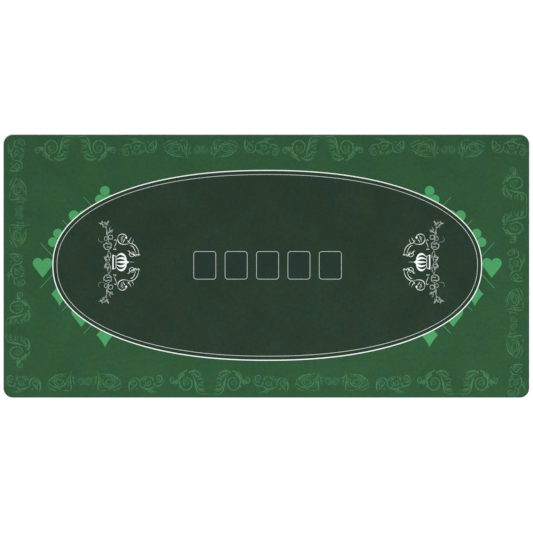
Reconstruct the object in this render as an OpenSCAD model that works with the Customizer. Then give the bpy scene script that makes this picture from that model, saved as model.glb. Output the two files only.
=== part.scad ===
// Roll-out poker mat: a rubber base, a playing cloth bonded to it and the coats of ink printed on
// the cloth. The origin is the middle of the underside. +X runs along the mat's length, +Y across
// it to the far side, and +Z out of the playing face.

/* [Mat] */
// Length of the mat
mat_length = 1800; // [1400:10:2200]
// Width of the mat
mat_width = 900; // [750:10:1200]
// Radius of the mat's four corners
corner_radius = 32; // [10:1:80]

/* [Layers] */
// Thickness of the rubber base
rubber_thickness = 2.4; // [1:0.1:5]
// Thickness of the adhesive film between rubber and cloth
bond_thickness = 0.1; // [0.05:0.05:0.3]
// Thickness of the playing cloth
cloth_thickness = 0.5; // [0.3:0.1:1.5]
// Thickness of one coat of ink
ink_thickness = 0.1; // [0.05:0.01:0.2]

/* [Print] */
// How far the whole print sits to the right of the mat's middle
print_shift_x = 3; // [-5:0.5:5]
// How far the whole print sits beyond the mat's middle
print_shift_y = 3; // [-5:0.5:5]

/* [Oval] */
// Distance from the mat's end to the middle of the outer line
oval_end_margin = 166; // [130:1:260]
// Distance from the mat's long side to the middle of the outer line
oval_side_margin = 125; // [100:1:200]
// Fullness of the oval: 2 is an ellipse and more is squarer
oval_fullness = 2.2; // [2:0.01:3]
// Width of the outer line
outer_line_width = 3.2; // [2:0.1:8]
// Width of the inner line
inner_line_width = 1.4; // [1:0.1:5]
// Distance between the middles of the two lines
line_spacing = 14; // [8:0.5:30]

/* [Card boxes] */
// Width of a box over its outline
card_box_width = 77; // [66:1:90]
// Height of a box over its outline
card_box_height = 96; // [90:1:130]
// Clear gap between two boxes
card_box_gap = 30.5; // [5:0.5:40]
// Width of the boxes' outline
card_box_line = 1.3; // [1:0.1:4]
// Outer radius of the boxes' corners
card_box_radius = 10; // [5:0.5:20]
// How far the row sits to the right of the print's middle
card_row_shift = 1; // [-10:1:10]

/* [Suit marks] */
// Width and height of a heart
heart_size = 68; // [50:1:75]
// Width of a diamond
diamond_width = 59; // [40:1:65]
// Height of a diamond
diamond_height = 84; // [60:1:95]
// Radius of a club's three leaves
club_leaf_radius = 16.5; // [12:0.5:18]
// Width of the lines that part the marks
lattice_line_width = 1.8; // [1:0.1:4]
// Slope of those lines against the mat's length
lattice_angle = 47; // [35:1:55]

/* [Crests] */
// Distance from the oval's outer line to the crown's base, along the mat's length
crest_inset = 189; // [170:1:220]
// How far both crests sit to the right of the print's middle
crest_shift_x = 17; // [-20:1:20]
// How far both crests sit beyond the print's middle
crest_shift_y = 11; // [-20:1:20]
// Width of the crown over its outermost ribs
crown_width = 64; // [50:1:70]
// Height of the crown from its base bar to its tip
crown_height = 55; // [50:1:64]
// Number of ribs in the crown
crown_ribs = 5; // [3:2:7]
// Clear distance across the mat from the garland's tips to the oval's inner line
garland_line_gap = 25; // [20:1:60]

/* [Border] */
// Clear distance from the mat's edge to the scrollwork beside it
border_edge_gap = 13; // [8:1:15]
// Depth of the scrollwork, measured in from that gap
border_depth = 76; // [60:1:78]
// Length at the start of each side left free for the previous side's last scroll
border_corner_clear = 100; // [94:1:120]
// Clear distance from a side's last scroll to the edge that it runs up to
border_end_gap = 5; // [4:1:15]
// Width of a scroll's strip
scroll_line = 4; // [2:0.5:5]

/* [Hidden] */
// A board of shared cards is always five
card_box_count = 5;

// Each suit mark of the right-hand half: its suit, its angle round the oval, and how far its
// middle stands outside the oval's outer line. The left-hand half mirrors it.
marks = [["heart", -1, 35], ["club", 13.5, 1], ["heart", 27.5, -14], ["club", 43, 5],
    ["diamond", -15.5, 1], ["heart", -31, -2], ["diamond", -43.5, 10]];
// Each parting line above the middle: the angle of its outer end round the oval, and how far
// that end stands outside the outer line. The lines below mirror it.
partings = [[10, 54], [24, 28], [37.5, 42]];

cloth_z = rubber_thickness + bond_thickness;
first_coat_z = cloth_z + cloth_thickness;
second_coat_z = first_coat_z + ink_thickness;
oval_a = mat_length / 2 - oval_end_margin;
oval_b = mat_width / 2 - oval_side_margin;
oval_points = 240;
mark_points = 48;
round_points = 48;
scroll_points = 20;
card_pitch = card_box_width + card_box_gap;
crest_x = oval_a - crest_inset;
garland_back = 52;
garland_length = 2 * (oval_half_width(crest_x + abs(crest_shift_x) + garland_back, line_spacing)
    - abs(crest_shift_y) - garland_line_gap);
border_repeat = 849;
rib_points = 16;
rib_share = 0.3;
crown_bar = 4;
crown_band = 1.6;
rubber_color = "#1d1f1e";
bond_color = "#c9c4a8";
cloth_color = "#32593a";
field_color = "#2b3c30";
white_ink = "#ebebdc";
grey_ink = "#a9b3a6";
suit_color = "#489d5e";
scroll_color = "#3a6f46";

// A point of a superellipse. An exponent over 2 is fuller than an ellipse, and one under 1 gives
// hollow sides that meet in four points.
function outline_point(a, b, exponent, angle) =
    [a * sign(cos(angle)) * pow(abs(cos(angle)), 2 / exponent),
     b * sign(sin(angle)) * pow(abs(sin(angle)), 2 / exponent)];
function outline(a, b, exponent, points) =
    [for (i = [0:points - 1]) outline_point(a, b, exponent, 360 * i / points)];

// How far across the mat the oval reaches at this distance along it, on the curve that runs
// inside the outer line
function oval_half_width(along, inside) = (oval_b - inside)
    * pow(1 - pow(along / (oval_a - inside), oval_fullness), 1 / oval_fullness);

// A place near the oval: the point at this angle on the curve that runs outside the outer line
function beside_oval(angle, outside) =
    outline_point(oval_a + outside, oval_b + outside, oval_fullness, angle);

// One long side of a spiral strip that winds in from r_start to r_end and tapers towards its end
function spiral_side(r_start, r_end, turn, width) =
    [for (i = [0:scroll_points]) let (t = i / scroll_points,
        r = r_start + (r_end - r_start) * t + width / 2 * (1 - 0.5 * t))
        [r * cos(turn * t), r * sin(turn * t)]];
function reversed(list) = [for (i = [len(list) - 1:-1:0]) list[i]];

module spiral(r_start, r_end, turn, width = scroll_line)
    polygon(concat(spiral_side(r_start, r_end, turn, width),
        reversed(spiral_side(r_start, r_end, turn, -width))));

// A pointed leaf or rib, lying along X
module leaf(length, width) polygon(outline(length / 2, width / 2, 1.4, mark_points / 2));

// A sheet with the mat's own outline
module mat_sheet(z, thickness) translate([0, 0, z]) union() {
    cube_middle(mat_length, mat_width - 2 * corner_radius, thickness);
    cube_middle(mat_length - 2 * corner_radius, mat_width, thickness);
    for (x = [-1, 1], y = [-1, 1])
        translate([x * (mat_length / 2 - corner_radius), y * (mat_width / 2 - corner_radius), 0])
            cylinder(h = thickness, r = corner_radius, $fn = round_points);
}

module cube_middle(w, l, h) translate([-w / 2, -l / 2, 0]) cube([w, l, h]);

// A coat of ink in the shape of its 2-D children
module ink(z) translate([print_shift_x, print_shift_y, z])
    linear_extrude(height = ink_thickness) children();

module oval_shape(grow) polygon(outline(oval_a + grow, oval_b + grow, oval_fullness, oval_points));

module oval_line(inset, width) ink(second_coat_z) difference() {
    oval_shape(width / 2 - inset);
    oval_shape(-width / 2 - inset);
}

module rounded_box(w, h, r) union() {
    square([w, h - 2 * r], center = true);
    square([w - 2 * r, h], center = true);
    for (x = [-1, 1], y = [-1, 1])
        translate([x * (w / 2 - r), y * (h / 2 - r)]) circle(r = r, $fn = round_points);
}

module card_box(place) color(white_ink)
    translate([card_row_shift + (place - (card_box_count + 1) / 2) * card_pitch, 0, 0])
    ink(second_coat_z) difference() {
        rounded_box(card_box_width, card_box_height, card_box_radius);
        rounded_box(card_box_width - 2 * card_box_line, card_box_height - 2 * card_box_line,
            card_box_radius - card_box_line);
    }

// Two round lobes, and a tip that runs to a point on lines tangent to them
module heart() {
    lobe_r = heart_size * 0.26;
    lobe_x = heart_size / 2 - lobe_r;
    lobe_y = heart_size / 2 - lobe_r;
    tip_y = -heart_size / 2;
    reach = norm([lobe_x, lobe_y - tip_y]);
    side_angle = atan2(lobe_y - tip_y, lobe_x) + acos(lobe_r / reach) - 180;
    side = [lobe_x + lobe_r * cos(side_angle), lobe_y + lobe_r * sin(side_angle)];
    for (x = [-1, 1]) translate([x * lobe_x, lobe_y]) circle(r = lobe_r, $fn = round_points);
    polygon([[0, tip_y], side, [lobe_x, lobe_y], [0, lobe_y], [-lobe_x, lobe_y],
        [-side[0], side[1]]]);
}

// Three round leaves over a flared stem
module club() {
    leaf_drop = club_leaf_radius * 1.78;
    translate([0, leaf_drop * 0.75]) circle(r = club_leaf_radius, $fn = round_points);
    for (x = [-1, 1]) translate([x * club_leaf_radius * 1.04, -leaf_drop * 0.25])
        circle(r = club_leaf_radius, $fn = round_points);
    polygon([[0, leaf_drop * 0.5], [-club_leaf_radius * 0.7, -leaf_drop * 1.3],
        [club_leaf_radius * 0.7, -leaf_drop * 1.3]]);
}

module diamond() polygon(outline(diamond_width / 2, diamond_height / 2, 0.86, mark_points));

// Every mark of one suit, whole, as it would be without the oval
module mark_shapes(suit) for (mark = marks, side = [-1, 1]) if (mark[0] == suit) {
    place = beside_oval(mark[1], mark[2]);
    translate([side * place[0], place[1]]) {
        if (suit == "heart") heart();
        if (suit == "club") club();
        if (suit == "diamond") diamond();
    }
}

// Every mark of one suit, printed outside the oval's outer line
module suit_marks(suit) color(suit_color) ink(first_coat_z) difference() {
    mark_shapes(suit);
    oval_shape(outer_line_width / 2);
}

// One long side of a crown's rib, which starts thin, swells out to the given distance and closes
// in over the top. The sign of half_width says which side it is.
function rib_side(swell, half_width) =
    [for (i = [0:rib_points]) let (t = i / rib_points)
        [crown_height * (0.22 + 0.62 * t),
         swell * pow(sin(180 * (0.12 + 0.86 * t)), 0.45)
             + half_width * sin(90 * min(1, 0.1 + t))]];

// A bar joined by two slanted strips to a thin band, ribs that swell out and close over them, and
// a pointed tip
module crown_shape() {
    half_ribs = (crown_ribs - 1) / 2;
    rib_swell = crown_width / 2 / (1 + rib_share / half_ribs);
    rib_half_width = rib_share * rib_swell / half_ribs;
    bar_w = crown_width * 0.78;
    band_w = crown_width * 0.66;
    band_x = crown_height * 0.17;
    translate([-crown_bar / 2, -bar_w / 2]) square([crown_bar, bar_w]);
    translate([band_x, -band_w / 2]) square([crown_band, band_w]);
    for (side = [-1, 1]) polygon([[0, side * bar_w / 2], [band_x, side * band_w / 2],
        [band_x, side * (band_w / 2 - crown_band)], [0, side * (bar_w / 2 - crown_band)]]);
    for (i = [-half_ribs:half_ribs]) {
        swell = rib_swell * i / half_ribs;
        polygon(concat(rib_side(swell, rib_half_width), reversed(rib_side(swell, -rib_half_width))));
    }
    translate([crown_height * 0.83, 0]) polygon([[0, -crown_width * 0.1],
        [crown_height * 0.17, 0], [0, crown_width * 0.1]]);
}

// Moves its children to one crest. They are drawn with +X towards the middle of the mat.
module at_crest(side) translate([side * crest_x + crest_shift_x, crest_shift_y, 0])
    mirror([side > 0 ? 1 : 0, 0, 0]) children();

module crown(side) color(white_ink) at_crest(side) ink(second_coat_z) crown_shape();

// The two arms that rise beside the crown, each a curl, a curved stem and two leaves
module crest_scrolls(side) color(white_ink) at_crest(side) ink(second_coat_z)
    for (half = [0, 1]) mirror([0, half, 0]) {
        translate([crown_height * 0.58, crown_width / 2 + 48]) rotate(-60) spiral(17, 5, 500);
        translate([crown_height * 0.63, 10]) rotate(8) spiral(54, 50, 50);
        translate([crown_height * 1.12, 30]) rotate(60) leaf(22, 9);
        translate([6, crown_width / 2 + 32]) rotate(80) leaf(36, 5);
    }

// The garland that runs behind the crown: curls from the middle out to each leafy end
module garland(side) color(grey_ink) at_crest(side) ink(second_coat_z)
    for (half = [0, 1]) mirror([0, half, 0]) {
        for (i = [0:2]) translate([-22, garland_length * (0.055 + 0.11 * i)])
            rotate(90 * i) spiral(garland_length * 0.042, garland_length * 0.014, 450,
                garland_length * 0.014);
        for (i = [0:3]) translate([garland_length * (-0.09 - 0.02 * i),
            garland_length * (0.38 + 0.03 * i)]) rotate(30 + 40 * i)
            leaf(garland_length * 0.054, garland_length * 0.021);
    }

// Ornaments of the border, drawn about their middle with the mat's edge towards +Y. Each fills
// the given length along the edge and depth in from it.
module spiral_pair(length, depth) for (half = [0, 1]) mirror([half, 0]) {
    translate([length * 0.28, 0]) rotate(200) spiral(min(depth * 0.4, length * 0.1), 8, -560);
    translate([length * 0.46, -depth * 0.12]) rotate(90)
        spiral(min(depth * 0.16, length * 0.035), 4, 400);
    translate([length * 0.14, depth * 0.05]) rotate(80) leaf(depth * 0.85, length * 0.025);
}

module plume_pair(length, depth) for (half = [0, 1]) mirror([half, 0]) {
    translate([length * 0.06, 0]) rotate(-90) spiral(min(depth * 0.15, length * 0.045), 4, 400);
    translate([length * 0.32, 0]) rotate(28) leaf(length * 0.3, depth * 0.18);
    translate([length * 0.36, depth * 0.3]) rotate(28) leaf(length * 0.14, depth * 0.12);
}

// Its larger curl is at the +X end
module s_scroll(length, depth) {
    translate([length * 0.3, depth * 0.06]) rotate(60)
        spiral(min(depth * 0.25, length * 0.17), 5, 450);
    translate([-length * 0.06, depth * 0.1]) rotate(-60)
        spiral(min(depth * 0.18, length * 0.12), 5, -400);
    translate([-length * 0.34, -depth * 0.08]) rotate(120)
        spiral(min(depth * 0.2, length * 0.13), 5, -420);
}

// One side's ornaments, set end to end along +X from the first corner to the last. A repeat holds
// a spiral pair, then a plume pair between two S scrolls that turn their larger curls to it.
module border_side(side_length) {
    run = side_length - border_corner_clear - border_end_gap;
    repeats = max(1, round(run / border_repeat));
    stretch = run / repeats / border_repeat;
    start = -side_length / 2 + border_corner_clear;
    for (i = [0:repeats - 1]) translate([start + i * stretch * border_repeat, 0]) {
        translate([146 * stretch, 0]) spiral_pair(284 * stretch, border_depth);
        translate([366 * stretch, 0]) s_scroll(125 * stretch, border_depth);
        translate([576 * stretch, 0]) plume_pair(258 * stretch, border_depth);
        translate([785 * stretch, 0]) mirror([1, 0])
            s_scroll(125 * stretch, border_depth);
    }
}

// The scrollwork along the side that faces this way from the mat's middle
module border_scrolls(facing, side_length, across) color(scroll_color)
    ink(first_coat_z) rotate(facing - 90)
    translate([0, across / 2 - border_edge_gap - border_depth / 2]) border_side(side_length);

module rubber_base() color(rubber_color) mat_sheet(0, rubber_thickness);
module bond_film() color(bond_color) mat_sheet(rubber_thickness, bond_thickness);
module playing_cloth() color(cloth_color) mat_sheet(cloth_z, cloth_thickness);
module oval_field() color(field_color) ink(first_coat_z) oval_shape(outer_line_width / 2);
module oval_line_outer() color(white_ink) oval_line(0, outer_line_width);
module oval_line_inner() color(white_ink) oval_line(line_spacing, inner_line_width);

// Lines that part the marks. They stop at the oval, and at a mark that is in their way.
module lattice_lines() color(suit_color) ink(first_coat_z) difference() {
    for (parting = partings, x = [0, 1], y = [0, 1]) mirror([x, 0]) mirror([0, y])
        translate(beside_oval(parting[0], parting[1])) rotate(180 + lattice_angle)
            translate([0, -lattice_line_width / 2]) square([120, lattice_line_width]);
    oval_shape(outer_line_width / 2);
    for (suit = ["heart", "club", "diamond"]) mark_shapes(suit);
}

rubber_base();
bond_film();
playing_cloth();
oval_field();
oval_line_outer();
oval_line_inner();
for (i = [1:card_box_count])
    card_box(i);
suit_marks("heart");  // suit_hearts
suit_marks("club");  // suit_clubs
suit_marks("diamond");  // suit_diamonds
lattice_lines();
crown(-1);  // crown_left
crown(1);  // crown_right
crest_scrolls(-1);  // crest_scrolls_left
crest_scrolls(1);  // crest_scrolls_right
garland(-1);  // garland_left
garland(1);  // garland_right
border_scrolls(90, mat_length, mat_width);  // border_scrolls_far
border_scrolls(0, mat_width, mat_length);  // border_scrolls_right
border_scrolls(270, mat_length, mat_width);  // border_scrolls_near
border_scrolls(180, mat_width, mat_length);  // border_scrolls_left
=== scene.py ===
"""A roll-out poker mat lying flat: rubber base, knitted cloth and the inks printed on it."""

import math

import bmesh
import bpy
from mathutils import Matrix, Vector
from mathutils.geometry import interpolate_bezier


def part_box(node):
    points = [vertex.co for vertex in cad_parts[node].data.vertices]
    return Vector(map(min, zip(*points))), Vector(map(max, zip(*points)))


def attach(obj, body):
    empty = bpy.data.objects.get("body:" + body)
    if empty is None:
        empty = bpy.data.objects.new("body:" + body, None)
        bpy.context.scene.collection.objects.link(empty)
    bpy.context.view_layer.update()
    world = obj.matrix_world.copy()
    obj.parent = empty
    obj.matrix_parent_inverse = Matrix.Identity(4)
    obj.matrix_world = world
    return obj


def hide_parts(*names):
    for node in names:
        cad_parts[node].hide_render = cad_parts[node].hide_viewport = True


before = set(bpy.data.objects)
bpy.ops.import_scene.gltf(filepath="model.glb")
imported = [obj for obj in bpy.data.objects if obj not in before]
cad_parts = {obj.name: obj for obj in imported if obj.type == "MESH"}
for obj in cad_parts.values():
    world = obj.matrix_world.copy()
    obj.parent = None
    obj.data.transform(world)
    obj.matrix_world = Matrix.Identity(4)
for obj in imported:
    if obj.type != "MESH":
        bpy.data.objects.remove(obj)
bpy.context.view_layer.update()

MM = 0.001
cloth_low, cloth_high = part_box("playing_cloth")
rubber_low, rubber_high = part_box("rubber_base")
field_low, field_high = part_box("oval_field")
PRINT_MIDDLE = (field_low + field_high) / 2
MAT_SIZE = cloth_high - cloth_low
CORNER_RADIUS = 32 * MM


# Camera, floor and light

CAMERA_LENS = 50
SENSOR_WIDTH = 36
# How much wider the view is than the mat, as a share of the mat's length
VIEW_MARGIN = 0.01389
VIEW_WIDTH = MAT_SIZE.x * (1 + VIEW_MARGIN)
CAMERA_HEIGHT = VIEW_WIDTH * CAMERA_LENS / SENSOR_WIDTH
CAMERA_OFFSET = (0.0004, -0.001)
FLOOR_HALF_SIDE = 6.0
FLOOR_PAINT = (0.93, 0.93, 0.93)


def add_camera():
    data = bpy.data.cameras.new("camera")
    data.lens = CAMERA_LENS
    data.sensor_width = SENSOR_WIDTH
    camera = bpy.data.objects.new("camera", data)
    camera.location = (*CAMERA_OFFSET, cloth_high.z + CAMERA_HEIGHT)
    bpy.context.scene.collection.objects.link(camera)
    bpy.context.scene.camera = camera


def add_floor():
    bm = bmesh.new()
    bmesh.ops.create_grid(bm, x_segments=1, y_segments=1, size=FLOOR_HALF_SIDE)
    floor = add_piece(bm, "floor", plain_finish("floor_paint", FLOOR_PAINT, roughness=0.8))


def add_soft_box(name, place, size, power, colour):
    data = bpy.data.lights.new(name, "AREA")
    data.color = colour
    data.shape = "RECTANGLE"
    data.size, data.size_y = size
    data.energy = power
    light = bpy.data.objects.new(name, data)
    light.location = place
    light.rotation_euler = (-Vector(place)).to_track_quat("-Z", "Y").to_euler()
    bpy.context.scene.collection.objects.link(light)


def add_lights():
    world = bpy.data.worlds.new("studio")
    world.use_nodes = True
    background = world.node_tree.nodes["Background"]
    background.inputs["Color"].default_value = (1, 1, 1, 1)
    background.inputs["Strength"].default_value = 1.0
    bpy.context.scene.world = world
    add_soft_box("near_soft_box", place=(0.3, -2.0, 1.9), size=(2.4, 1.4), power=40,
                 colour=(0.84, 0.93, 1.0))


# Shared helpers


def add_piece(bm, name, *finishes):
    """Turns a bmesh into an object at the origin, with its finishes in order."""
    mesh = bpy.data.meshes.new(name)
    bm.to_mesh(mesh)
    bm.free()
    for finish in finishes:
        mesh.materials.append(finish)
    piece = bpy.data.objects.new(name, mesh)
    bpy.context.scene.collection.objects.link(piece)
    return piece


def mount_piece(piece, slot, *nodes):
    """Rides a piece on the mat's body, in place of CAD nodes."""
    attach(piece, "root")
    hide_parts(*nodes)


# Finishes


DYE_SCALE = 16


class Finish:
    """A node material that is built step by step round one Principled shader."""

    def __init__(self, name):
        self.material = bpy.data.materials.new(name)
        self.material.use_nodes = True
        self.tree = self.material.node_tree
        self.shader = self.tree.nodes["Principled BSDF"]
        self.place = self.tree.nodes.new("ShaderNodeTexCoord").outputs["Object"]

    def set(self, **values):
        for name, value in values.items():
            self.shader.inputs[name.replace("_", " ")].default_value = value

    def node(self, kind, **inputs):
        node = self.tree.nodes.new(kind)
        for name, value in inputs.items():
            self.feed(node.inputs[name.replace("_", " ")], value)
        return node

    def feed(self, socket, value):
        if isinstance(value, bpy.types.NodeSocket):
            self.tree.links.new(value, socket)
        else:
            socket.default_value = value

    def math(self, operation, a, b):
        node = self.tree.nodes.new("ShaderNodeMath")
        node.operation = operation
        self.feed(node.inputs[0], a)
        self.feed(node.inputs[1], b)
        return node.outputs[0]

    def noise(self, scale, detail=2.0):
        node = self.node("ShaderNodeTexNoise", Vector=self.place, Scale=scale, Detail=detail)
        return node.outputs["Fac"]

    def bands(self, direction, scale, distortion):
        node = self.node("ShaderNodeTexWave", Vector=self.place, Scale=scale,
                         Distortion=distortion, Detail=1.0, Detail_Scale=1.5)
        node.wave_type = "BANDS"
        node.bands_direction = direction
        return node.outputs["Fac"]

    def spread(self, value, low, high):
        """Takes a pattern to a range. Noise hardly leaves its middle half, so that fills it."""
        node = self.node("ShaderNodeMapRange", Value=value, From_Min=0.25, From_Max=0.75,
                         To_Min=low, To_Max=high)
        return node.outputs["Result"]

    def shade(self, colour, factor, drift=0.0):
        """A colour times a varying factor, which also drifts from a yellower to a bluer dye."""
        mix = self.tree.nodes.new("ShaderNodeMix")
        mix.data_type = "RGBA"
        self.feed(mix.inputs["Factor"], self.spread(self.noise(DYE_SCALE, 3), 0, 1))
        for name, way in (("A", 1), ("B", -1)):
            socket = next(i for i in mix.inputs if i.name == name and i.type == "RGBA")
            red, green, blue = colour
            socket.default_value = (red * (1 + way * drift), green, blue * (1 - way * drift), 1)
        node = self.tree.nodes.new("ShaderNodeVectorMath")
        node.operation = "SCALE"
        self.feed(node.inputs[0], next(o for o in mix.outputs if o.type == "RGBA"))
        self.feed(node.inputs["Scale"], factor)
        return node.outputs[0]

    def bump(self, height, distance, strength):
        node = self.node("ShaderNodeBump", Height=height, Distance=distance, Strength=strength)
        self.feed(self.shader.inputs["Normal"], node.outputs["Normal"])


def plain_finish(name, colour, roughness):
    finish = Finish(name)
    finish.set(Base_Color=(*colour, 1), Roughness=roughness)
    return finish.material


ROW_SCALE = 320
COURSE_SCALE = 256
KNIT_WAVER = 1.2
KNIT_DEPTH = 0.00012
FIBRE_SCALE = 420
MOTTLE_SCALE = 95
DRIFT_SCALE = 7
CLOTH_ROUGHNESS = (0.84, 0.94)
RIB_SCALE = 52
RIB_DEPTH = 0.0002
GRAIN_SCALE = 900
DUST_SCALE = 30


def printed_cloth(name, colour, patchiness):
    """Dyed polyester knit: rows of fine stitches, loose fibre and slow drifts in the dye. Its
    colour also holds painted shade, a little darker where the stitches dip.
    """
    finish = Finish(name)
    rows = finish.bands("X", ROW_SCALE, KNIT_WAVER)
    courses = finish.bands("Y", COURSE_SCALE, KNIT_WAVER)
    stitches = finish.math("MULTIPLY", rows, courses)
    fibre = finish.noise(FIBRE_SCALE, 3)
    drift = finish.spread(finish.noise(DRIFT_SCALE, 3), 1 - patchiness, 1 + patchiness)
    mottle = finish.spread(finish.noise(MOTTLE_SCALE, 3), 1 - patchiness, 1 + patchiness)
    # Painted shade in the knit: up to 4% darker where the stitches sit low, following the bump's
    # height; the fibre noise also adds its own tone
    knit_shade_and_fibre = finish.spread(finish.math("ADD", stitches, fibre), 0.96, 1.0)
    factor = finish.math("MULTIPLY", finish.math("MULTIPLY", drift, mottle), knit_shade_and_fibre)
    finish.feed(finish.shader.inputs["Base Color"],
                finish.shade(colour, factor, patchiness * 1.2))
    finish.feed(finish.shader.inputs["Roughness"], finish.spread(fibre, *CLOTH_ROUGHNESS))
    finish.bump(finish.math("ADD", stitches, finish.math("MULTIPLY", fibre, 0.5)),
                KNIT_DEPTH, 0.6)
    finish.set(Specular_IOR_Level=0.12, Sheen_Weight=0.05, Sheen_Roughness=0.6)
    return finish.material


def embossed_rubber():
    finish = Finish("embossed_rubber")
    ribs = finish.math("MULTIPLY", finish.bands("X", RIB_SCALE, 0),
                       finish.bands("Y", RIB_SCALE, 0))
    grain = finish.noise(GRAIN_SCALE, 3)
    dust = finish.spread(finish.noise(DUST_SCALE, 4), 0.85, 1.2)
    finish.feed(finish.shader.inputs["Base Color"], finish.shade((0.02, 0.021, 0.021), dust))
    finish.feed(finish.shader.inputs["Roughness"], finish.spread(grain, 0.7, 0.9))
    finish.bump(finish.math("ADD", ribs, finish.math("MULTIPLY", grain, 0.3)), RIB_DEPTH, 0.7)
    finish.set(Specular_IOR_Level=0.3)
    return finish.material


def bonding_film():
    finish = Finish("bonding_film")
    streak = finish.spread(finish.noise(160, 2), 0.85, 1.1)
    finish.feed(finish.shader.inputs["Base Color"], finish.shade((0.3, 0.29, 0.2), streak))
    finish.feed(finish.shader.inputs["Roughness"], finish.spread(finish.noise(60, 1), 0.45, 0.6))
    return finish.material


GREEN_CLOTH = printed_cloth("green_cloth", (0.0186, 0.0705, 0.0262), 0.11)
FIELD_INK = printed_cloth("field_ink", (0.0128, 0.03, 0.0162), 0.14)
BOX_INK = printed_cloth("box_ink", (0.0106, 0.0259, 0.0182), 0.08)
WHITE_INK = printed_cloth("white_ink", (0.75, 0.79, 0.74), 0.02)
FINE_WHITE_INK = printed_cloth("fine_white_ink", (0.56, 0.62, 0.57), 0.03)
GREY_INK = printed_cloth("grey_ink", (0.42, 0.48, 0.42), 0.06)
SUIT_INK = printed_cloth("suit_ink", (0.054, 0.275, 0.093), 0.03)
LEAF_INK = printed_cloth("leaf_ink", (0.051, 0.175, 0.074), 0.08)
LEAF_WASH = printed_cloth("leaf_wash", (0.0212, 0.079, 0.0304), 0.1)
RUBBER = embossed_rubber()
BOND = bonding_film()


# The cloth and the rubber

SAME_HEIGHT = 1e-7
CORNER_STEPS = 12
EDGE_STEPS = 2


def ease(bm, edges, width, segments):
    """Rounds off the edges given."""
    bmesh.ops.bevel(bm, geom=edges, offset=width, offset_type="OFFSET", segments=segments,
                    profile=0.5, affect="EDGES", material=-1)


def rounded_block(low, high, radius, segments):
    """A block between two opposite corners, with its upright edges rounded."""
    bm = bmesh.new()
    bmesh.ops.create_cube(bm, size=1.0)
    block = Matrix.Translation((low + high) / 2) @ Matrix.Diagonal((*(high - low), 1))
    bmesh.ops.transform(bm, matrix=block, verts=bm.verts)
    uprights = [e for e in bm.edges
                if abs(e.verts[0].co.z - e.verts[1].co.z) > (high.z - low.z) / 2]
    ease(bm, uprights, radius, segments)
    return bm


def rounded_sheet(low_z, high_z, bottom_bevel, top_bevel):
    """A sheet with the mat's rounded outline, and its upper and lower edges eased."""
    bm = rounded_block(Vector((*cloth_low.xy, low_z)), Vector((*cloth_high.xy, high_z)),
                       CORNER_RADIUS, CORNER_STEPS)
    for z, width in ((low_z, bottom_bevel), (high_z, top_bevel)):
        ease(bm, [e for e in bm.edges if all(abs(v.co.z - z) < SAME_HEIGHT for v in e.verts)],
             width, EDGE_STEPS)
    return bm


def make_cloth():
    bm = rounded_sheet(cloth_low.z, cloth_high.z, bottom_bevel=0.05 * MM, top_bevel=0.3 * MM)
    cloth = add_piece(bm, "playing_cloth_sheet", GREEN_CLOTH)
    mount_piece(cloth, "cloth", "playing_cloth")


def make_rubber():
    bm = rounded_sheet(rubber_low.z, rubber_high.z, bottom_bevel=0.5 * MM, top_bevel=0.1 * MM)
    rubber = add_piece(bm, "rubber_base_pad", RUBBER)
    mount_piece(rubber, "rubber", "rubber_base")


# Pen work: each stroke is a ribbon of ink, in millimetres

# The two tones, which are also the order of a piece's finishes, and how thick each one's film is
LINE, WASH = 0, 1
FILM = {LINE: 0.1, WASH: 0.04}
STEPS_IN_HEIGHT = 12
STEP_HEIGHT = 0.004
TIP = 0.25
LEAF_POINTS = 5
SWEEP_POINTS = 16
CURL_POINTS = 18
DOT_SIDES = 10
FRINGE_START = 0.08
FRINGE_LEAN = 48
FRINGE_BEND = -0.22


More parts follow.
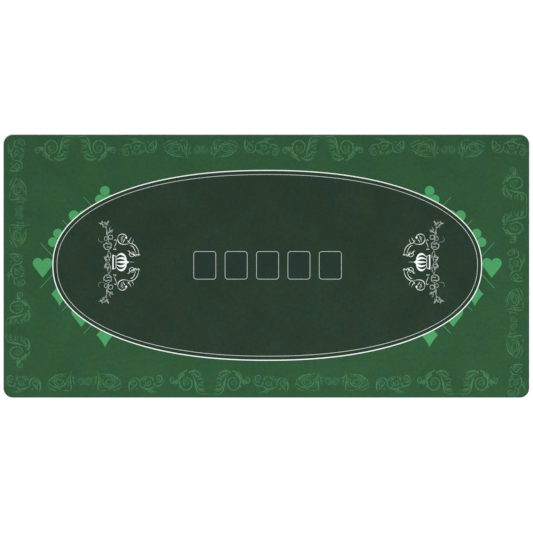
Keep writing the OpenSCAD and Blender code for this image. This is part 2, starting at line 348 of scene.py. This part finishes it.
class Pen:
    """Gathers inked strokes that lie on one level, a hair's breadth apart in height. Where wash
    is given, each stroke also has a paler one under it, that many times as wide."""

    def __init__(self, wash=0):
        self.sheet = bmesh.new()
        self.count = 0
        self.wash = wash

    def lay(self, bm, tone=LINE):
        """Gives a flat shape its thickness and adds it to the sheet."""
        self.count += 1
        height = FILM[tone] + STEP_HEIGHT * (self.count % STEPS_IN_HEIGHT)
        for face in bm.faces:
            face.material_index = tone
        top = bmesh.ops.extrude_face_region(bm, geom=bm.faces[:])["geom"]
        bmesh.ops.translate(bm, vec=(0, 0, height),
                            verts=[v for v in top if isinstance(v, bmesh.types.BMVert)])
        bmesh.ops.recalc_face_normals(bm, faces=bm.faces[:])
        mesh = bpy.data.meshes.new("stroke")
        bm.to_mesh(mesh)
        bm.free()
        self.sheet.from_mesh(mesh)
        bpy.data.meshes.remove(mesh)

    def stroke(self, points, width):
        """A line of ink, on its wash. width gives its width for 0 to 1 along it."""
        if self.wash:
            self.ribbon(points, lambda t: self.wash * width(t), WASH)
        self.ribbon(points, width, LINE)

    def ribbon(self, points, width, tone):
        bm = bmesh.new()
        edge = bm.edges.new([bm.verts.new((0, y, 0)) for y in (0.5, -0.5)])
        last = len(points) - 1
        before = None
        for i, point in enumerate(points):
            ahead = points[min(i + 1, last)] - points[max(i - 1, 0)]
            turn = Matrix.Rotation(math.atan2(ahead.y, ahead.x), 4, "Z")
            here = Matrix.Translation(point) @ turn @ Matrix.Diagonal((1, width(i / last), 1, 1))
            if before is None:
                bmesh.ops.transform(bm, matrix=here, verts=bm.verts)
            else:
                grown = bmesh.ops.extrude_edge_only(bm, edges=[edge])["geom"]
                ends = [g for g in grown if isinstance(g, bmesh.types.BMVert)]
                edge = next(g for g in grown if isinstance(g, bmesh.types.BMEdge))
                bmesh.ops.transform(bm, matrix=here @ before.inverted(), verts=ends)
            before = here
        self.lay(bm, tone)

    def fringe(self, line, count, reach, width, sides):
        """Small leaves that fan off a line, on the sides given: 1 is its left and -1 its right."""
        last = len(line) - 1
        for i in range(count):
            t = FRINGE_START + (1 - FRINGE_START) * (i + 0.5) / count
            at = min(int(t * last), last - 1)
            along = (line[at + 1] - line[at]).normalized()
            side = sides[i % len(sides)]
            lean = Matrix.Rotation(math.radians(FRINGE_LEAN * side), 3, "Z")
            root = line[at]
            tip = root + (lean @ along) * reach * (1.15 - 0.5 * t)
            self.leaf(root, tip, width, FRINGE_BEND * side)

    def sweep(self, a, b, c, d, width, leaves=0, reach=7.0, sides=(1, -1)):
        """A stroke from a to d, drawn towards b at first and coming from c at last."""
        line = interpolate_bezier(*(Vector((*p, 0)) for p in (a, b, c, d)),
                                  SWEEP_POINTS)
        self.stroke(line, swelling(width))
        self.fringe(line, leaves, reach, width * 0.75, sides)

    def curl(self, middle, radius, start, turns, width, end=0.25, squash=1.0, leaves=0,
             reach=6.0):
        """A spiral that winds in from radius, anticlockwise where turns is above 0, to a dot.
        Its leaves fan off the outside of its first turn."""
        steps = 6 + round(CURL_POINTS * abs(turns))
        points = []
        for i in range(steps + 1):
            t = i / steps
            angle = math.radians(start + 360 * turns * t)
            away = radius * (1 - (1 - end) * t ** 0.8)
            points.append(Vector((middle[0] + away * math.cos(angle),
                                  middle[1] + away * squash * math.sin(angle), 0)))
        self.stroke(points, lambda t: width * (1 - 0.5 * t))
        self.dot(points[-1], width * 0.6)
        outer = points[:max(3, round(steps * 0.75 / max(abs(turns), 0.75)))]
        self.fringe(outer, leaves, reach, width * 0.75, [-1 if turns > 0 else 1])

    def leaf(self, root, tip, width, bend=0.2):
        """A pointed leaf that bends to its left by a share of its length."""
        a, d = Vector((*root[:2], 0)), Vector((*tip[:2], 0))
        side = Vector((a.y - d.y, d.x - a.x, 0)) * bend
        line = interpolate_bezier(a, a.lerp(d, 0.3) + side, a.lerp(d, 0.7) + side, d, LEAF_POINTS)
        self.stroke(line, swelling(width))

    def dot(self, middle, radius):
        bm = bmesh.new()
        bmesh.ops.create_circle(bm, cap_ends=True, segments=DOT_SIDES, radius=radius,
                                matrix=Matrix.Translation((middle[0], middle[1], 0)))
        self.lay(bm)

    def berries(self, width, *places):
        """Tight little curls: each place is x, y, radius, start angle and turns."""
        for x, y, radius, start, turns in places:
            self.curl((x, y), radius, start, turns, width, 0.3)

    def mirrored(self, axis):
        """Adds the mirror image of everything drawn so far."""
        flip = Matrix.Diagonal((-1 if axis == "X" else 1, -1 if axis == "Y" else 1, 1, 1))
        self.place_all(self.finished(), [Matrix.Identity(4), flip])

    def finished(self):
        """Hands over everything drawn so far as a mesh, and starts on an empty sheet."""
        mesh = bpy.data.meshes.new("motif")
        self.sheet.to_mesh(mesh)
        self.sheet.clear()
        return mesh

    def place_all(self, mesh, places):
        """Adds a copy of a motif's mesh at each place."""
        for place in places:
            seen = len(self.sheet.verts), len(self.sheet.faces)
            self.sheet.from_mesh(mesh)
            self.sheet.verts.ensure_lookup_table()
            self.sheet.faces.ensure_lookup_table()
            bmesh.ops.transform(self.sheet, matrix=place, verts=self.sheet.verts[seen[0]:])
            if place.determinant() < 0:
                bmesh.ops.reverse_faces(self.sheet, faces=self.sheet.faces[seen[1]:])


def swelling(width):
    """A width that is fullest a third of the way along and runs to points."""
    return lambda t: TIP + (width - TIP) * math.sin(math.pi * t ** 0.75)


WASH_SPREAD = 3.2


def spiral_pair():
    """Two ringed curls that turn their backs on each other, under a bow along the mat's edge."""
    pen = Pen(WASH_SPREAD)
    pen.curl((80, 4), 28, -75, 1.25, 1.9, 0.42, leaves=14, reach=6.5)
    pen.curl((80, 4), 23, -10, 0.9, 1.2, 0.8, leaves=8, reach=4.5)
    pen.curl((80, 4), 11, 60, -1.2, 1.2, 0.3, leaves=5, reach=4)
    pen.curl((129, -6), 11, 130, -1.4, 1.6, 0.25, leaves=4, reach=4.5)
    pen.sweep((130, 5), (119, 5), (110, -10), (84, -33), 2.6, 11, 8)
    pen.sweep((119, 10), (112, 4), (106, -6), (97, -18), 1.6, 6, 6)
    pen.sweep((112, -14), (104, -24), (92, -32), (74, -36), 1.4, 6, 5)
    pen.sweep((59, -20), (45, 0), (54, 38), (28, 37.5), 3.4)
    pen.sweep((38, 36), (28, 39), (12, 36), (0, 36.5), 1.6)
    pen.sweep((50, -4), (44, 14), (42, 28), (16, 29), 1.6, 9, 5.5)
    pen.sweep((66, -20), (56, -28), (44, -22), (33, -6), 1.6, 9, 6)
    pen.sweep((74, -24), (62, -39), (46, -38), (30, -26), 1.6, 9, 6)
    pen.sweep((60, -30), (50, -34), (38, -32), (26, -16), 1.3, 6, 5)
    pen.sweep((40, 14), (34, 8), (28, 8), (20, 14), 1.3, 5, 5)
    pen.sweep((44, -4), (36, -12), (28, -14), (20, -6), 1.3, 5, 5)
    pen.sweep((42, 26), (34, 18), (22, 20), (14, 26), 1.2, 5, 5)
    pen.berries(1.2, (33, 22, 5, 60, 1.1), (24, 24, 4.5, 100, -1.1), (36, 4, 5, 20, 1.1),
                (47, -18, 4.5, 80, 1.1), (57, -33, 4.5, 120, -1.1), (70, -31, 4.5, 40, 1.1),
                (90, -21, 4.5, 90, -1.1), (36, -20, 4.5, 0, 1.1), (82, -34, 4, 60, 1.1),
                (26, 2, 3.5, 30, -1.1), (100, -24, 3.5, 0, 1.1), (104, 14, 3.5, 60, -1.1))
    pen.mirrored("X")
    return pen.finished()


def plume_pair():
    """Two feathered leaves, each round an oval ring, that grow out from a pair of small curls."""
    pen = Pen(WASH_SPREAD)
    pen.curl((15, -2), 13, 90, 1.6, 1.5, 0.25, leaves=5, reach=4)
    pen.curl((15, -2), 16, 130, 0.6, 1.0, 0.9)
    pen.sweep((47, 32), (42, 14), (55, -12), (45, -38), 2.0, 10, 7)
    pen.sweep((34, 12), (38, 0), (40, -12), (45, -30), 1.4, 6, 5)
    pen.sweep((58, 22), (53, 8), (58, -10), (50, -26), 1.3, 6, 5)
    pen.curl((86, 1), 24, 190, -1.1, 1.8, 0.5, 0.72, 12, 6)
    pen.curl((86, 0), 15, 215, -1.0, 1.2, 0.5, 0.7, 7, 4)
    pen.sweep((124, 2), (114, -18), (90, -30), (58, -28), 1.9, 11, 7)
    pen.sweep((116, 4), (104, -14), (86, -22), (62, -20), 1.3, 8, 5)
    pen.sweep((122, 6), (112, 18), (90, 24), (64, 16), 1.4, 8, 5)
    pen.sweep((50, 30), (66, 37), (80, 22), (96, 28), 1.6)
    pen.sweep((94, 28), (110, 32), (116, 23), (130, 16), 1.6, 4, 5)
    pen.sweep((62, 28), (78, 33), (92, 17), (112, 20), 1.2)
    pen.berries(1.2, (122, 6, 5.5, 0, 1.2), (62, -8, 5, 60, 1.1), (36, -14, 4.5, 20, -1.2),
                (112, -14, 4.5, 40, 1.1), (76, -26, 4, 0, 1.1), (66, 8, 4, 0, -1.1),
                (98, -24, 3.5, 30, 1.1), (52, 2, 3.5, 90, 1.1))
    pen.mirrored("X")
    return pen.finished()


def s_scroll():
    """Three curls on one winding stem. Its cup, which is the larger end, is towards +X."""
    pen = Pen(WASH_SPREAD)
    pen.sweep((54, 33), (62, 18), (60, -12), (38, -13), 2.6, 8, 5, (-1,))
    pen.sweep((38, -13), (22, -14), (16, 4), (22, 18), 2.2, 6, 5, (-1,))
    pen.curl((38, 6), 12, 60, -1.3, 1.5, 0.3, leaves=6, reach=4)
    pen.sweep((50, 28), (44, 18), (34, 14), (29, 4), 1.7, 6, 5)
    pen.sweep((56, 14), (54, 2), (46, -6), (36, -8), 1.2, 5, 4)
    pen.curl((-10, 3), 11, 330, 1.3, 1.5, 0.3, leaves=8, reach=5)
    pen.sweep((20, 12), (6, 28), (-20, 28), (-35, 8), 2.1, 11, 6.5, (-1, 1, -1))
    pen.sweep((8, 0), (6, -10), (-4, -12), (-8, -21), 1.7, 6, 5)
    pen.sweep((14, -4), (12, -12), (6, -18), (-3, -19), 1.3, 4, 4)
    pen.curl((-44, -12), 14, 70, 1.4, 1.8, 0.25, leaves=9, reach=5)
    pen.sweep((-30, 12), (-46, 18), (-60, 8), (-61, -10), 1.9, 9, 5.5, (-1,))
    pen.sweep((-10, 20), (-18, 30), (-28, 36), (-40, 33), 1.7, 8, 6)
    pen.sweep((-2, 22), (-8, 30), (-14, 34), (-22, 36), 1.4, 5, 5)
    pen.sweep((-26, -2), (-22, -10), (-18, -16), (-26, -22), 1.3, 4, 4)
    pen.berries(1.2, (-28, 4, 4.5, 60, 1.1), (-24, -10, 4, 20, -1.1), (4, 12, 4, 100, 1.1),
                (16, -8, 3.5, 0, 1.1), (-14, -16, 3.5, 40, 1.1), (30, 24, 3.5, 0, -1.1))
    return pen.finished()


# The border's run along each side, as the print is laid out

FROM_EDGE = 51
CORNER_CLEAR = 100
END_GAP = 5
REPEAT = 849
# How far the motifs of both ends sit towards the near side
END_SLIP = 8
# Each motif of a repeat: its kind, its place along the run, which way it faces, and how much
# deeper it is than drawn
MOTIF_PLACES = (("spiral", 146, 1, 1.12), ("scroll", 366, 1, 1.04), ("plume", 576, 1, 0.96),
                ("scroll", 785, -1, 1.04))


def border_places(kind, facing, side_length, across, slip):
    """Where one kind of motif stands along a side. All of them slip that far along it."""
    run = side_length - CORNER_CLEAR - END_GAP
    repeats = max(1, round(run / REPEAT))
    stretch = run / repeats / REPEAT
    start = CORNER_CLEAR - side_length / 2 + slip
    to_side = (Matrix.Translation((0, PRINT_MIDDLE.y, cloth_high.z))
               @ Matrix.Rotation(math.radians(facing - 90), 4, "Z") @ Matrix.Scale(MM, 4)
               @ Matrix.Translation((start, across / 2 - FROM_EDGE, 0)))
    return [to_side
            @ Matrix.Translation(((i * REPEAT + along) * stretch, 0, 0))
            @ Matrix.Diagonal((facing_way * stretch, deepening, 1, 1))
            for i in range(repeats)
            for name, along, facing_way, deepening in MOTIF_PLACES if name == kind]


def make_borders():
    length, width = MAT_SIZE.x / MM, MAT_SIZE.y / MM
    motifs = {"spiral": spiral_pair(), "plume": plume_pair(), "scroll": s_scroll()}
    for side, facing, along, across, slip in (("far", 90, length, width, 0),
                                              ("right", 0, width, length, END_SLIP),
                                              ("near", 270, length, width, 0),
                                              ("left", 180, width, length, -END_SLIP)):
        pen = Pen()
        for kind, mesh in motifs.items():
            pen.place_all(mesh, border_places(kind, facing, along, across, slip))
        piece = add_piece(pen.sheet, "scrollwork_" + side, LEAF_INK, LEAF_WASH)
        mount_piece(piece, "ink_leaf_green", "border_scrolls_" + side)


# The crests: two arms round each crown, and a garland behind it


def crest_arms():
    """The arms, with +X towards the mat's middle and the middle of the crown's bar at 0, 0."""
    pen = Pen()
    pen.sweep((45, 84), (48, 98), (17, 104), (16, 79), 1.9)
    pen.sweep((16, 84), (15, 62), (32, 55), (58, 65), 2.3)
    pen.sweep((40, 90), (28, 90), (24, 76), (32, 68), 0.8, 4, 4)
    pen.sweep((36, 86), (30, 82), (30, 76), (36, 72), 0.8)
    pen.dot((45, 84), 3.4)
    pen.sweep((42, 80), (38, 76), (36, 72), (34, 66), 1.3, 3, 4)
    pen.sweep((54, 64), (74, 66), (88, 48), (88, 24), 1.9)
    pen.sweep((57, 57), (70, 56), (77, 42), (76, 28), 1.5, 3, 4)
    pen.berries(1.4, (87, 24, 4.2, 0, 1.2), (80, 26, 2.6, 180, 1.0))
    pen.curl((65, 27), 9.5, 130, 0.9, 1.6, 0.8)
    pen.sweep((49, 40), (58, 36), (60, 26), (72, 28), 1.4, 5, 4.5)
    pen.sweep((66, 30), (70, 24), (74, 24), (80, 19), 3.2)
    pen.sweep((50, 66), (56, 74), (60, 78), (62, 86), 1.5)
    pen.sweep((50, 76), (52, 70), (56, 66), (60, 64), 1.3)
    pen.sweep((62, 62), (66, 68), (70, 72), (70, 80), 1.0)
    pen.sweep((4, 73), (7, 80), (15, 76), (11, 66), 1.4)
    pen.sweep((12, 70), (10, 60), (4, 58), (6, 48), 1.4)
    pen.dot((3, 44), 1.7)
    pen.dot((9, 44), 1.7)
    pen.mirrored("Y")
    pen.sweep((54, 0), (60, 0.4), (66, 0.4), (73, 0), 0.7)
    return pen.finished()


def garland():
    pen = Pen()
    pen.sweep((-15, 0), (-34, 8), (-30, 18), (-16, 26), 1.4, 4, 5)
    pen.sweep((-15, 0), (-6, 14), (-26, 22), (-14, 42), 1.6, 4, 5)
    pen.sweep((-10, 10), (-4, 22), (-10, 32), (-16, 44), 1.3, 3, 5)
    pen.leaf((-16, 6), (-31, 20), 2.0)
    pen.leaf((-17, 24), (-30, 12), 2.0)
    pen.curl((-18, 56), 14, 150, 0.62, 2.3, 0.85)
    pen.curl((-17, 57), 13, 20, 0.3, 1.3, 0.9)
    pen.sweep((-30, 60), (-22, 68), (-14, 58), (-6, 64), 1.6, 4, 5)
    pen.sweep((-24, 48), (-16, 56), (-12, 50), (-4, 52), 1.4, 4, 5)
    pen.curl((-9, 86), 9, 250, 1.0, 1.6, 0.7, 0.9, 3, 5)
    pen.curl((-24, 80), 7, 60, 1.0, 1.4, 0.6, 1.2)
    pen.sweep((-16, 70), (-14, 80), (-20, 90), (-19, 104), 1.6, 6, 5)
    pen.sweep((-22, 92), (-24, 102), (-18, 108), (-24, 118), 2.2)
    pen.sweep((-20, 98), (-12, 100), (-8, 108), (0, 112), 1.5, 4, 6)
    pen.sweep((-12, 102), (-10, 110), (-14, 116), (-8, 121), 1.3, 2, 5)
    pen.berries(1.3, (-25, 118, 4, 0, 1.0), (-32, 123, 4.5, 80, 1.0), (-20, 128, 4.5, 180, -1.0),
                (-41, 131, 4, 20, 1.0), (-29, 133, 4.5, 140, -1.0), (-17, 136, 3.5, 30, 1.0),
                (-36, 137, 3.5, 90, 1.0), (-4, 104, 3, 30, 1.0))
    pen.sweep((-30, 126), (-38, 130), (-42, 136), (-50, 133), 1.4, 4, 5)
    pen.sweep((-24, 124), (-24, 132), (-20, 138), (-14, 141), 1.4, 3, 5)
    pen.sweep((-30, 70), (-48, 64), (-56, 78), (-46, 87), 0.6)
    pen.mirrored("Y")
    return pen.finished()


BAR_MIDDLE = 2 * MM


def make_crests():
    arms, leaves = crest_arms(), garland()
    for side, towards_middle in (("left", 1), ("right", -1)):
        low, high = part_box("crown_" + side)
        bar = low.x + BAR_MIDDLE if towards_middle > 0 else high.x - BAR_MIDDLE
        place = (Matrix.Translation((bar, (low.y + high.y) / 2, field_high.z))
                 @ Matrix.Diagonal((towards_middle * MM, MM, MM, 1)))
        for mesh, name, finish, slot, node in (
                (arms, "crest_arms_", WHITE_INK, "ink_white", "crest_scrolls_"),
                (leaves, "garland_work_", GREY_INK, "ink_grey", "garland_")):
            pen = Pen()
            pen.place_all(mesh, [place])
            piece = add_piece(pen.sheet, name + side, finish)
            mount_piece(piece, slot, node + side)


# The slightly deeper tint inside each card box

BOX_COUNT = 5
BOXES = [f"card_box_{place}" for place in range(1, BOX_COUNT + 1)]
TINT = 0.04 * MM
TINT_INSET = 0.5 * MM
TINT_RADIUS = 9.5 * MM
TINT_STEPS = 8


def make_box_tints():
    bm = bmesh.new()
    for box in BOXES:
        low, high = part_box(box)
        inset = Vector((TINT_INSET, TINT_INSET, 0))
        plate = rounded_block(low + inset, Vector((*(high - inset).xy, low.z + TINT)),
                              TINT_RADIUS, TINT_STEPS)
        mesh = bpy.data.meshes.new("tint")
        plate.to_mesh(mesh)
        plate.free()
        bm.from_mesh(mesh)
        bpy.data.meshes.remove(mesh)
    mount_piece(add_piece(bm, "card_box_tints", BOX_INK), "ink_dark_green")


# CAD nodes that keep their own shape

KEPT_FINISHES = {"bond_film": BOND, "oval_field": FIELD_INK, "oval_line_outer": WHITE_INK,
                 "oval_line_inner": FINE_WHITE_INK, **dict.fromkeys(BOXES, FINE_WHITE_INK),
                 "crown_left": WHITE_INK, "crown_right": WHITE_INK, "suit_hearts": SUIT_INK,
                 "suit_clubs": SUIT_INK, "suit_diamonds": SUIT_INK, "lattice_lines": SUIT_INK}


def finish_kept_nodes():
    for name, finish in KEPT_FINISHES.items():
        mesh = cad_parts[name].data
        mesh.materials.clear()
        mesh.materials.append(finish)


make_cloth()
make_rubber()
make_borders()
make_crests()
make_box_tints()
finish_kept_nodes()
add_camera()
add_floor()
add_lights()
bpy.context.scene.view_settings.view_transform = "Standard"
